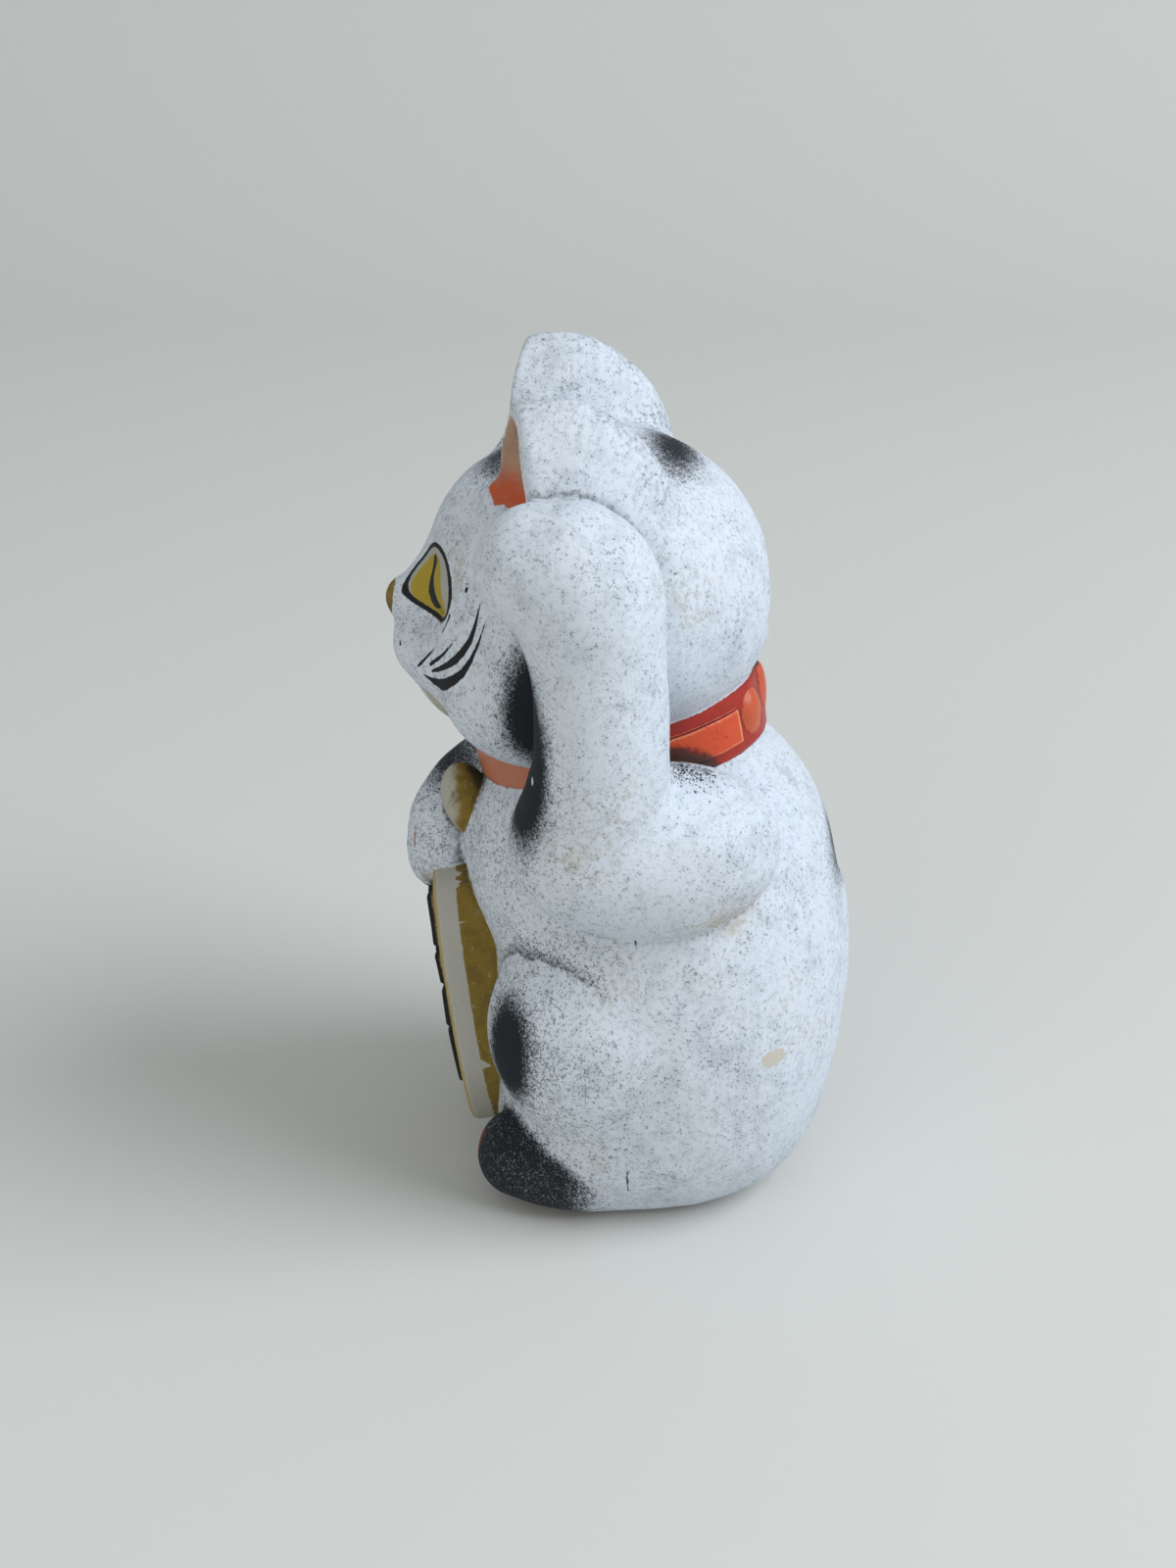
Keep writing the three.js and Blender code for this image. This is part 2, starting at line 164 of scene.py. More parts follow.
# Black paint sprayed in soft spots on both sides: middle, radii and strength
SOOT_SPOTS = [
    ((42, -27.5, 49), (7, 5, 11), 1.35),
    ((44, -19, 133), (8, 7, 13), 1.25),
    ((52, -23, 122), (10, 4.5, 12), 1.3),
    ((0, -30, 181), (16, 8, 6), 1.0),
    ((0, 10, 181), (16, 6, 5), 1.0),
    ((0, 51, 84), (15, 6, 8), 0.9),
    ((12, -40, 146), (3, 5, 2), 0.5),
]
COIN_ARM_SOOT = ((-18, -44, 97), (14, 8, 5), 0.9)

# Warm rubbed places, where the wash is smooth and beige
RUBBED_SPOTS = [
    ((22, -39, 159), (6, 6, 9), 1.0),
    ((46, 20, 88), (9, 13, 6), 0.9),
    ((-7, -44, 76), (6, 5, 5), 0.6),
]
PITTED = ((38, 12, 119), (9, 8, 4))
GOLD_SMUDGES = [
    ((-6, -47, 73), (7, 5, 4), 0.9),
    ((14, -43, 145), (4, 3, 1.6), 0.9),
]


def smooth_rows(rows, t):
    """A smooth curve through rows whose first column is t: a cubic between two rows, with each
    row's slope taken from the rows on either side of it."""
    rows = np.asarray(rows, float)
    t = np.clip(np.asarray(t, float), rows[0, 0], rows[-1, 0])
    last = len(rows) - 1
    i = np.clip(np.searchsorted(rows[:, 0], t, "left") - 1, 0, last - 1)
    before = np.maximum(np.arange(last + 1) - 1, 0)
    after = np.minimum(np.arange(last + 1) + 1, last)
    slopes = (rows[after] - rows[before]) / (rows[after, :1] - rows[before, :1])
    step = (rows[i + 1, 0] - rows[i, 0])[..., None]
    u = (t - rows[i, 0])[..., None] / step
    rise = u * u * (3 - 2 * u)
    leaving = (u**3 - 2 * u**2 + u) * step * slopes[i]
    arriving = (u**3 - u**2) * step * slopes[i + 1]
    return rows[i] * (1 - rise) + rows[i + 1] * rise + leaving + arriving


def turned(points, middle, tilt=0.0, turn=0.0):
    """Points seen from a shape's own axes: moved to its middle, turned about z, then tilted about x."""
    p = points - np.asarray(middle, SINGLE)
    c, s = np.cos(np.radians(turn)), np.sin(np.radians(turn))
    p = np.stack([c * p[:, 0] + s * p[:, 1], -s * p[:, 0] + c * p[:, 1], p[:, 2]], 1)
    c, s = np.cos(np.radians(tilt)), np.sin(np.radians(tilt))
    return np.stack([p[:, 0], c * p[:, 1] + s * p[:, 2], -s * p[:, 1] + c * p[:, 2]], 1).astype(SINGLE)


def nearby(points, lowest, highest, distance, margin=12.0):
    """A shape's distance within margin of its box, and further off the distance to the box itself."""
    away = np.maximum(np.maximum(lowest - points, points - highest), 0)
    away = np.sqrt((away * away).sum(1)).astype(SINGLE)
    close = away < margin
    result = np.maximum(away, SINGLE(margin * 0.6))
    if close.any():
        result[close] = distance(points[close])
    return result


def egg(points, middle, radii, tilt=0.0, turn=0.0):
    """Distance to an ellipsoid, near enough: r (r - 1) / slope, where r is the length of p / radii."""
    middle = np.array(middle, SINGLE)
    radii = np.array(radii, SINGLE)

    def distance(near):
        p = turned(near, middle, tilt, turn) if tilt or turn else near - middle
        reach = np.sqrt(((p / radii) ** 2).sum(1))
        slope = np.sqrt(((p / radii**2) ** 2).sum(1))
        return reach * (reach - 1) / np.maximum(slope, 1e-6)

    return nearby(points, middle - radii.max(), middle + radii.max(), distance)


def limb(points, rows, steps=24):
    """Distance to a tapered round limb: the nearest of the straight cones between close points of
    a smooth path through rows of x, y, z and radius."""
    rows = np.asarray(rows, float)
    lengths = np.r_[0, np.cumsum(np.linalg.norm(np.diff(rows[:, :3], axis=0), axis=1))]
    path = smooth_rows(np.c_[lengths, rows], np.linspace(0, lengths[-1], steps))[:, 1:].astype(SINGLE)
    lowest = (path[:, :3] - path[:, 3:]).min(0)
    highest = (path[:, :3] + path[:, 3:]).max(0)

    def distance(near):
        best = np.full(len(near), 1e9, SINGLE)
        for start, end in zip(path[:-1], path[1:]):
            along = end[:3] - start[:3]
            u = np.clip((near - start[:3]) @ along / (along @ along), 0, 1)
            off = near - start[:3] - u[:, None] * along
            best = np.minimum(best, np.sqrt((off * off).sum(1)) - start[3] - (end[3] - start[3]) * u)
        return best

    return nearby(points, lowest, highest, distance)


def melt(a, b, width):
    """The nearer of two distances, with the crease between them filled over a width."""
    overlap = np.maximum(width - np.abs(a - b), 0) / width
    return np.minimum(a, b) - overlap * overlap * SINGLE(width * 0.25)


def carve(a, b, width):
    """Shape a with shape b taken out, its edge rounded over a width."""
    return -melt(-a, b, width)


def meet(a, b, width):
    """What two shapes share, its edge rounded over a width."""
    return -melt(-a, -b, width)


def oval(x, y, half_x, half_y, power):
    """Distance, near enough, to the rounded oval |x/a|^n + |y/b|^n = 1."""
    across = np.abs(x) / half_x
    along = np.abs(y) / half_y
    reach = np.maximum(across**power + along**power, 1e-6) ** (1 / power)
    steep = np.sqrt((across ** (power - 1) / half_x) ** 2 + (along ** (power - 1) / half_y) ** 2)
    slope = np.maximum(reach, 1e-3) ** (1 - power) * steep
    return ((reach - 1) / np.maximum(slope, 1 / 60)).astype(SINGLE)


def slabbed(across, through, half, rounding):
    """Distance to a flat slab, from the distance across its outline and the height off its middle."""
    a = across + rounding
    b = np.abs(through) - half + rounding
    outside = np.sqrt(np.maximum(a, 0) ** 2 + np.maximum(b, 0) ** 2)
    return np.minimum(np.maximum(a, b), 0) + outside - rounding


def mirrored(points):
    """The points folded onto the cat's left side, for what is alike on both sides."""
    side = points.copy()
    side[:, 0] = np.abs(side[:, 0])
    return side


def trunk(points):
    """The seated body: at each height a rounded oval between its front, back and half width."""
    z = points[:, 2]
    _, front, back, half = smooth_rows(TRUNK_LEVELS, z).astype(SINGLE).T
    around = oval(points[:, 0], points[:, 1] - (back + front) / 2, half, (back - front) / 2, TRUNK_SQUARENESS)
    return np.maximum(around, z - SINGLE(TRUNK_LEVELS[-1, 0]))


def tail(points):
    """A flat tail up the middle of the back: a limb sunk in the trunk's back line."""
    backs = smooth_rows(TRUNK_LEVELS, TAIL_LEVELS)[:, 2]
    rows = [(0, back - TAIL_RADIUS + TAIL_STANDS_OUT, z, TAIL_RADIUS) for back, z in zip(backs, TAIL_LEVELS)]
    return limb(points, rows)


def body(points, side):
    """Trunk with chest, haunches, feet and tail."""
    d = melt(trunk(points), egg(points, *CHEST), 8)
    d = melt(d, egg(side, *HAUNCH), 2.5)
    d = melt(d, tail(points), 1.5)
    return melt(d, limb(side, FOOT), 1.2)


def face(points, side):
    """Crown, nape, cheeks, brow and muzzle melted together, with hollows for the eyes."""
    d = melt(egg(points, *CROWN), egg(points, *NAPE), 8)
    d = melt(d, egg(side, *CHEEK), 8)
    d = melt(d, egg(points, *BROW), 8)
    d = melt(d, egg(side, *MUZZLE), 8)
    d = carve(d, egg(side, *EYE_HOLLOW), 6)
    d = melt(d, limb(points, NOSE_BRIDGE, 10), 5)
    d = melt(d, egg(points, *NOSE_TIP), 2)
    d = melt(d, egg(side, *EYEBALL), 0.8)
    return melt(d, egg(points, *CHIN), 6)


def ear_shapes(points):
    """The left ear's hood, the flat of its opening and the bowl behind it, as three distances.

    In the ear's own axes the hood is the body (|x/a|^n + |z/c|^n)^(2/n) + (y/b)^2 = 1, cut by an
    upright plane turned outwards, and the bowl is a smaller body of the same kind on that plane."""
    middle = np.array(EAR["middle"], SINGLE)
    radii = np.array(EAR["radii"], SINGLE)
    power = EAR["pointed"]
    up = points[:, 2] - middle[2]
    across = points[:, 0] - middle[0] - EAR["lean"] * up
    back = (points[:, 1] - middle[1]) / radii[1]
    hood = (np.abs(across) / radii[0]) ** power + (np.abs(up) / radii[2]) ** power
    hood = (np.sqrt(hood ** (2 / power) + back * back) - 1) * 12
    c, s = np.cos(np.radians(EAR_OPENING["turn"])), np.sin(np.radians(EAR_OPENING["turn"]))
    front = (points[:, 0] - EAR_OPENING["rim"][0]) * s - (points[:, 1] - EAR_OPENING["rim"][1]) * c
    wide = radii[0] - EAR_OPENING["wall"]
    high = radii[2] - EAR_OPENING["wall"] - 3
    bowl = (np.abs(across) / wide) ** power + (np.abs(up - 1) / high) ** power
    bowl = (np.sqrt(bowl ** (2 / power) + (front / EAR_OPENING["depth"]) ** 2) - 1) * 7
    return hood, front, bowl


def ear(side):
    """An ear: its hood cut flat in front and hollowed by its bowl."""
    middle = np.array(EAR["middle"], SINGLE)

    def distance(near):
        hood, front, bowl = ear_shapes(near)
        return carve(meet(hood, front, 2.4), bowl, 1.8)

    return nearby(side, middle - (22, 26, 16), middle + (24, 34, 34), distance).astype(SINGLE)


def coin(points):
    """The long coin: a thick oval plate that leans back against the belly."""
    p = turned(points, COIN_MIDDLE, COIN_LEAN)
    half_x, half_y, half_z = COIN_HALF
    outline = oval(p[:, 0], p[:, 2], half_x, half_z, COIN_SQUARENESS)
    return slabbed(outline, p[:, 1], half_y, COIN_ROUND)


def strokes(points):
    """Distance in the coin's face to its rows of strokes, and the height over that face. A row is a
    run of equal slanted bars, found by the remainder across it, and rows lean in turn each way."""
    p = turned(points, COIN_MIDDLE, COIN_LEAN)
    best = np.full(len(p), 1e3, SINGLE)
    for row, (middle, half_high, count) in enumerate(STROKE_ROWS):
        up = p[:, 2] - middle
        across = p[:, 0] + STROKE_SLANT * up * (-1) ** row + STROKE_GAP * count / 2
        nearest = np.clip(np.floor(across / STROKE_GAP), 0, count - 1) + 0.5
        a = np.abs(across - nearest * STROKE_GAP) - STROKE_HALF
        b = np.abs(up) - half_high
        outside = np.sqrt(np.maximum(a, 0) ** 2 + np.maximum(b, 0) ** 2)
        best = np.minimum(best, np.minimum(np.maximum(a, b), 0) + outside)
    return best, p[:, 1] + COIN_HALF[1]


def collar(points):
    """The collar: an oval slab round the neck, higher at the nape."""
    p = turned(points, COLLAR["middle"], COLLAR["tilt"])
    ring = oval(p[:, 0], p[:, 1], *COLLAR["half"], 2.0)
    return slabbed(ring, p[:, 2], COLLAR["height"] / 2, 1.2)


def strap(points):
    """The flat strap on the collar: the same oval a little prouder, cut off on either side of the
    bow by upright planes through the collar's middle."""
    p = turned(points, COLLAR["middle"], COLLAR["tilt"])
    half_x, half_y = COLLAR["half"]
    ring = oval(p[:, 0], p[:, 1], half_x + STRAP["proud"], half_y + STRAP["proud"], 2.0)
    through = p[:, 2] - (STRAP["high"] + STRAP["low"]) / 2
    band = slabbed(ring, through, (STRAP["high"] - STRAP["low"]) / 2, 0.4)
    angle = np.radians(STRAP["end_angle"])
    end = p[:, 1] * np.sin(angle) - np.abs(p[:, 0]) * np.cos(angle)
    return meet(band, end, 0.4)


def bow(points, side):
    """The collar's bow at the nape: two loops and a knot."""
    loops = egg(side, *BOW_LOOP[:2], turn=BOW_LOOP[2])
    return melt(loops, egg(points, *BOW_KNOT), 0.6)


def head(points, side):
    """Face and ears as one."""
    return melt(face(points, side), ear(side), 4)


def coin_arm(points):
    """The right arm, which lies over the top of the coin."""
    return melt(egg(points, *COIN_SHOULDER), limb(points, COIN_ARM), 5)


def raised_arm(points):
    """The left shoulder and the arm raised beside the head."""
    shoulder = melt(egg(points, *SHOULDER), egg(points, *SHOULDER_BACK), 8)
    return melt(shoulder, limb(points, RAISED_ARM), 6)


def slot_cut(points):
    """The money slot: an upright box let into the back of the head."""
    back_of_head = CROWN[0][1] + CROWN[1][1]
    reach = np.stack([
        np.abs(points[:, 0]) - SLOT["width"] / 2,
        np.abs(points[:, 1] - back_of_head) - SLOT["depth"],
        np.abs(points[:, 2] - SLOT["middle"]) - SLOT["length"] / 2], 1)
    outside = np.sqrt((np.maximum(reach, 0) ** 2).sum(1))
    return (np.minimum(reach.max(1), 0) + outside).astype(SINGLE)


def bell(points):
    """The bell under the chin: a tilted egg."""
    middle, radii, tilt = BELL
    return egg(points, middle, radii, tilt=tilt)


def relief(points, rise):
    """The raised strokes of the coin, which stand out of its face by rise."""
    flat, height = strokes(points)
    return slabbed(flat, height, rise, 0.8)


def lumps(points, height):
    """Low unevenness left by the mould and the hand: three crossed sine waves of 15 to 30 mm."""
    x, y, z = (points / 1.0).T
    wave = np.sin(x / 3.1 + 1.3 * np.sin(z / 6.3)) * np.sin(z / 3.7 + y / 5.1)
    wave = wave + 0.7 * np.sin(y / 2.4 + x / 4.3) * np.sin(z / 5.9 - x / 7.7)
    return (wave * height).astype(SINGLE)


def clay(points, rise, lump):
    """The whole cat as one distance field."""
    p = points.astype(SINGLE)
    side = mirrored(p)
    d = body(p, side)
    d = melt(d, coin_arm(p), 1.8)
    d = melt(d, collar(p), 0.8)
    d = melt(d, strap(p), 0.3)
    d = melt(d, head(p, side), 0.8)
    d = melt(d, bow(p, side), 0.6)
    d = melt(d, raised_arm(p), 1.2)
    d = melt(d, coin(p), 0.8)
    d = melt(d, relief(p, rise), 0.5)
    d = melt(d, bell(p), 0.8)
    d = carve(d, egg(p, *BELL_HOLE), 0.5)
    d = carve(d, limb(p, BELL_SLIT, 8), 0.4)
    d = carve(d, egg(p, *SLOT_DENT), 3)
    d = carve(d, slot_cut(p), 0.8)
    return meet(d + lumps(p, lump), -p[:, 2], BASE_ROUND)


def gradient(field, points, step):
    """The way a field rises at each point, by differences over a small step each way."""
    ways = np.eye(3, dtype=SINGLE) * SINGLE(step)
    return np.stack([field(points + way) - field(points - way) for way in ways], 1) / (2 * step)


def settled(field, points, reach, rounds):
    """Points moved onto the skin: each round steps along the gradient by the distance that is left."""
    points = points.astype(SINGLE)
    for _ in range(rounds):
        rise = gradient(field, points, 0.15)
        step = field(points) / np.maximum((rise * rise).sum(1), 0.2)
        points = points - rise * np.clip(step, -reach, reach)[:, None]
    return points


def band_values(field, lowest, highest, cell, coarse=4):
    """The field on a grid: coarse cells stretched linearly, then worked out exactly near the skin."""
    wide = cell * coarse
    count = np.ceil((highest - lowest) / wide).astype(int) + 1
    axes = [lowest[i] + wide * np.arange(count[i] + 1) for i in range(3)]
    places = np.stack(np.meshgrid(*axes, indexing="ij"), -1).reshape(-1, 3).astype(SINGLE)
    values = field(places).reshape(count + 1)
    for axis in range(3):
        along = np.arange(count[axis] * coarse + 1) / coarse
        low = np.minimum(along.astype(int), count[axis] - 1)
        shape = [1, 1, 1]
        shape[axis] = -1
        share = (along - low).astype(SINGLE).reshape(shape)
        values = values.take(low, axis) * (1 - share) + values.take(low + 1, axis) * share
    values = values.astype(SINGLE)
    close = np.abs(values) < wide * 0.9
    places = (lowest + np.argwhere(close) * cell).astype(SINGLE)
    parts = np.array_split(places, max(1, len(places) // 300000))
    values[close] = np.concatenate([field(part) for part in parts])
    return values


def net(values, lowest, cell):
    """Vertices and quads of the surface where grid values change sign: one vertex in each crossed
    cell, at the mean of the crossings of its edges, and one quad round each crossed grid edge."""
    inside = values < 0
    corners = np.array(np.meshgrid((0, 1), (0, 1), (0, 1), indexing="ij")).reshape(3, -1).T
    size = np.array(values.shape) - 1
    filled = sum(inside[tuple(slice(c[i], c[i] + size[i]) for i in range(3))].astype(np.int8) for c in corners)
    cells = np.argwhere((filled > 0) & (filled < 8))
    number = np.full(size, -1, np.int32)
    number[tuple(cells.T)] = np.arange(len(cells))
    total = np.zeros((len(cells), 3))
    crossings = np.zeros(len(cells))
    for corner in corners:
        for axis in np.flatnonzero(corner == 0):
            far = corner.copy()
            far[axis] = 1
            here = values[tuple((cells + corner).T)].astype(float)
            there = values[tuple((cells + far).T)].astype(float)
            crossed = (here < 0) != (there < 0)
            share = np.where(crossed, here / np.where(crossed, here - there, 1), 0)
            place = np.repeat(corner[None].astype(float), len(cells), 0)
            place[:, axis] += share
            total += place * crossed[:, None]
            crossings += crossed
    points = lowest + (cells + total / crossings[:, None]) * cell
    quads = []
    for axis, u, w in ((0, 1, 2), (1, 2, 0), (2, 0, 1)):
        ahead = [slice(None)] * 3
        ahead[axis] = slice(1, None)
        behind = [slice(None)] * 3
        behind[axis] = slice(None, -1)
        starts = np.argwhere(inside[tuple(ahead)] != inside[tuple(behind)])
        ring = []
        for du, dw in ((-1, -1), (0, -1), (0, 0), (-1, 0)):
            beside = starts.copy()
            beside[:, u] += du
            beside[:, w] += dw
            ring.append(number[tuple(beside.T)])
        ring = np.stack(ring, 1)
        outward = inside[tuple(starts.T)]
        ring[~outward] = ring[~outward][:, ::-1]
        quads.append(ring)
    return points, np.concatenate(quads)


def smoothstep(value, low, high):
    """Nought below low, one above high, and the smooth cubic between."""
    t = np.clip((value - low) / (high - low), 0, 1)
    return t * t * (3 - 2 * t)


def spot(points, middle, radii):
    """A soft spot: a bell curve of the distance from its middle, measured in its radii."""
    off = (points - np.array(middle, SINGLE)) / np.array(radii, SINGLE)
    return np.exp(-0.5 * (off * off).sum(1))


def deepest(points, limbs, steps=10):
    """How far inside the nearest of several brush strokes each point lies."""
    return np.maximum.reduce([-limb(points, rows, steps) for rows in limbs])


def front_oval(side, middle_x, middle_z, half_x, half_z):
    """How far inside an oval painted on the front of the face each point lies."""
    inside = -oval(side[:, 0] - middle_x, side[:, 2] - middle_z, half_x, half_z, 2.0)
    return np.minimum(inside, FRONT_OF_FACE - side[:, 1])


def crisp_masks(points):
    """Distances in mm to the edges of the painted areas, above nought inside the paint."""
    side = mirrored(points)
    trunk_and_feet = body(points, side)
    arm = coin_arm(points)
    others = np.minimum.reduce([head(points, side), raised_arm(points), trunk_and_feet, arm, bell(points)])
    band = np.minimum.reduce([collar(points), strap(points), bow(points, side)])
    hood, front, bowl = ear_shapes(side)
    in_ear = np.where(side[:, 2] > EAR_FOOT, np.minimum(0.6 - bowl, 0.4 - front), -9)
    plate = turned(points, COIN_MIDDLE, COIN_LEAN)
    flat, height = strokes(points)
    on_coin = np.minimum.reduce([trunk_and_feet, arm, bell(points)]) - np.minimum(coin(points), height + 0 * flat)
    on_coin = np.minimum.reduce([trunk_and_feet, arm, bell(points)])
    on_coin = on_coin - np.minimum(coin(points), relief(points, STROKE_RISE))
    face_of_coin = np.minimum(on_coin, COIN_HALF[1] * -1 + 0.9 - plate[:, 1])
    eye = front_oval(side, *EYE)
    return {
        "collar": others - band,
        "strap": -strap(points) + 0.3,
        "lobe": np.minimum.reduce([collar(points), strap(points)]) - bow(points, side),
        "ear_bowl": in_ear,
        "lines": np.maximum(deepest(side, FACE_STROKES.values()), LID_WIDTH - np.abs(eye)),
        "eye": eye,
        "iris": front_oval(side, *IRIS),
        "pupil": front_oval(side, *PUPIL),
        "nose": -egg(points, *NOSE_PAINT),
        "claws": np.maximum(deepest(points, CLAWS), deepest(side, TOE_MARKS)),
        "faint_claws": deepest(points, COIN_PAW_CLAWS),
        "cracks": deepest(points, CRACKS),
        "chips": deepest(points, WHITE_CHIPS),
        "flake": -egg(points, *FLAKE),
        "coin": on_coin,
        "coin_face": face_of_coin,
        "coin_back": np.minimum(on_coin, plate[:, 1] + 2.4),
        "coin_black": np.minimum(0.5 - flat, -height - 1.1),
        "bell": np.minimum(trunk_and_feet, arm) - bell(points),
        "slot": -slot_cut(points),
    }


def soft_masks(points, normals, field):
    """Soft amounts, from nought to about one: sprayed black, painted shade on the low front, painted shade and
    dirt in creases, rubbed places and worn edges.
    """
    side = mirrored(points)

    def spots(places, rows):
        return sum(strength * spot(places, middle, radii) for middle, radii, strength in rows)

    def beside(distance, fade):
        return np.exp(-np.maximum(distance, 0) / fade)

    haunch = egg(side, *HAUNCH)
    over_haunch = beside(haunch, 3.2) * smoothstep(side[:, 2], 50, 64) * smoothstep(-side[:, 1], -6, 12)
    over_foot = beside(limb(side, FOOT), 2.6) * smoothstep(-side[:, 1], 0, 16) * smoothstep(-side[:, 2], -30, -22)
    soot = spots(side, SOOT_SPOTS) + spots(points, [COIN_ARM_SOOT])
    soot = soot + 0.75 * over_haunch * (haunch > 0.6) + 0.9 * over_foot
    # Painted shade: the wash gets more dark dots towards the front and the bottom, where less light falls.
    low_front = smoothstep(-points[:, 1], -10, 30) * smoothstep(points[:, 2], 200, 20)
    # How deep each point lies in a crease, at three widths, like ambient occlusion: the paint darkens creases with
    # it, as painted shade and dirt.
    crease = [1 - np.clip(field(points + normals * reach) / reach, 0, 1) for reach in (1.5, 4, 10)]
    worn_edge = 1 + np.clip(field(points - normals * 1.0), -1, 0)
    return {
        "soot": np.clip(soot, 0, 2),
        "front_shade": low_front,
        "rubbed": spots(points, RUBBED_SPOTS),
        "gold_smudge": spots(side, GOLD_SMUDGES),
        "pitted": spot(points, *PITTED),
        "crease_fine": crease[0],
        "crease": crease[1],
        "crease_wide": crease[2],
        "worn_edge": worn_edge,
    }


def refined(piece, field, longest, rounds=2, near=1.3):
    """Splits the edges that are longer than longest and lie near the edge of painted marks, so that
    thin brush strokes keep their shape, and settles the new vertices on the skin."""
    for _ in range(rounds):
        mesh = piece.data
        points = vertex_places(mesh)
        masks = crisp_masks(points)
        close = np.minimum.reduce([np.abs(masks[name]) for name in FINE_MARKS]) < near
        ends = np.zeros(len(mesh.edges) * 2, np.int32)
        mesh.edges.foreach_get("vertices", ends)
        ends = ends.reshape(-1, 2)
        length = np.linalg.norm(points[ends[:, 0]] - points[ends[:, 1]], axis=1)
        split = (close[ends[:, 0]] | close[ends[:, 1]]) & (length > longest)
        shape = bmesh.new()
        shape.from_mesh(mesh)
        shape.edges.ensure_lookup_table()
        chosen = [shape.edges[i] for i in np.flatnonzero(split)]
        bmesh.ops.subdivide_edges(shape, edges=chosen, cuts=1)
        wide = [f for f in shape.faces if len(f.verts) > 3]
        bmesh.ops.triangulate(shape, faces=wide)
        shape.to_mesh(mesh)
        shape.free()
        points = settled(field, vertex_places(mesh), 0.3, 2)
        mesh.vertices.foreach_set("co", (points * SINGLE(MM)).ravel())
        mesh.update()


FINE_MARKS = ("lines", "eye", "iris", "pupil", "nose", "claws", "faint_claws", "cracks", "chips",
              "coin_black", "strap")


def linear(hex_colour):
    """An sRGB hex colour as linear red, green, blue and alpha."""
    parts = [int(hex_colour[i:i + 2], 16) / 255 for i in (1, 3, 5)]
    return (*[c / 12.92 if c <= 0.04045 else ((c + 0.055) / 1.055) ** 2.4 for c in parts], 1.0)


def hex_property(name, description, hex_colour):
    """A colour that a user can change, given as sRGB hex."""
    return bpy.props.FloatVectorProperty(
        name=name, description=description, subtype="COLOR", size=4, min=0, max=1, default=linear(hex_colour))


class CatSizes(bpy.types.PropertyGroup):
    """Sizes of the clay surface that a user may change."""

    cell: bpy.props.FloatProperty(
        name="Cell", description="Grid cell that finds the clay's skin", default=0.75 * MM, unit="LENGTH",
        precision=5)
    triangles: bpy.props.IntProperty(
        name="Triangles", description="Most triangles on the clay before its painted marks are made finer",
        default=80000)
    relief: bpy.props.FloatProperty(
        name="Relief", description="How far the coin's strokes stand out", default=STROKE_RISE * MM, unit="LENGTH",
        precision=5)
    lumps: bpy.props.FloatProperty(
        name="Lumps", description="Height of the hand's unevenness", default=0.12 * MM, unit="LENGTH",
        precision=5)


class CatColours(bpy.types.PropertyGroup):
    """Paint colours that a user may change."""

    wash: hex_property("White wash", "Cool white wash over the clay", "#c9d1da")
    wash_grey: hex_property("Grey wash", "Thin grey places in the wash", "#a4adb6")
    worn: hex_property("Worn wash", "Warm places where the wash is rubbed", "#b3aa98")
    soot: hex_property("Black spray", "Blue-black sprayed paint", "#0c151c")
    red: hex_property("Collar red", "Glossy red of the collar", "#9a2112")
    salmon: hex_property("Faded red", "Faded collar paint in front", "#a9664a")
    gold: hex_property("Gold", "Olive gold of nose, bell and coin", "#7a6524")
    iris: hex_property("Iris", "Yellow of the eyes", "#a08a2c")
    pink: hex_property("Ear", "Faded ear paint", "#a98872")
    clay: hex_property("Bare clay", "Unglazed clay in the slot and under the base", "#8d7f6b")
    floor: hex_property("Floor", "Pale floor and wall", "#c9cac6")


def surface(name, points, faces):
    """A mesh object in metres from points in millimetres and an array of quads."""
    mesh = bpy.data.meshes.new(name)
    mesh.vertices.add(len(points))
    mesh.vertices.foreach_set("co", (points * MM).astype(SINGLE).ravel())
    mesh.loops.add(faces.size)
    mesh.loops.foreach_set("vertex_index", faces.astype(np.int32).ravel())
    mesh.polygons.add(len(faces))
    mesh.polygons.foreach_set("loop_start", np.arange(len(faces), dtype=np.int32) * faces.shape[1])
    mesh.update(calc_edges=True)
    mesh.validate()
    mesh.shade_smooth()
    made = bpy.data.objects.new(name, mesh)
    bpy.context.scene.collection.objects.link(made)
    return made


def applied(piece):
    """Replaces a piece's mesh by what its modifiers make of it."""
    graph = bpy.context.evaluated_depsgraph_get()
    mesh = bpy.data.meshes.new_from_object(piece.evaluated_get(graph))
    piece.modifiers.clear()
    old = piece.data
    piece.data = mesh
    bpy.data.meshes.remove(old)


def vertex_places(mesh):
    """A mesh's vertices as an array, in millimetres."""
    places = np.zeros(len(mesh.vertices) * 3, SINGLE)
    mesh.vertices.foreach_get("co", places)
    return places.reshape(-1, 3) / SINGLE(MM)


def add(tree, kind, sockets=None, **settings):
    """Adds a node with its settings. Each socket, by name or number, gets a value or a link."""
    made = tree.nodes.new(kind)
    for name, value in settings.items():
        setattr(made, name, value)
    for key, value in (sockets or {}).items():
        if isinstance(value, bpy.types.NodeSocket):
            tree.links.new(value, made.inputs[key])
        else:
            made.inputs[key].default_value = value
    return made


def new_material(name):
    """An empty node material and its tree."""
    made = bpy.data.materials.new(name)
    made.use_nodes = True
    made.node_tree.nodes.clear()
    return made, made.node_tree


def grain(tree, place, size, detail=2.0, rough=0.5, offset=0.0):
    """Noise whose grains are about size millimetres across."""
    moved = add(tree, "ShaderNodeVectorMath", {0: place, 1: (offset, offset, offset)}, operation="ADD").outputs[0]
    noise = add(tree, "ShaderNodeTexNoise", {"Vector": moved, "Scale": 1 / (size * MM), "Detail": detail,
                                             "Roughness": rough}, noise_dimensions="3D")
    return noise.outputs[0]


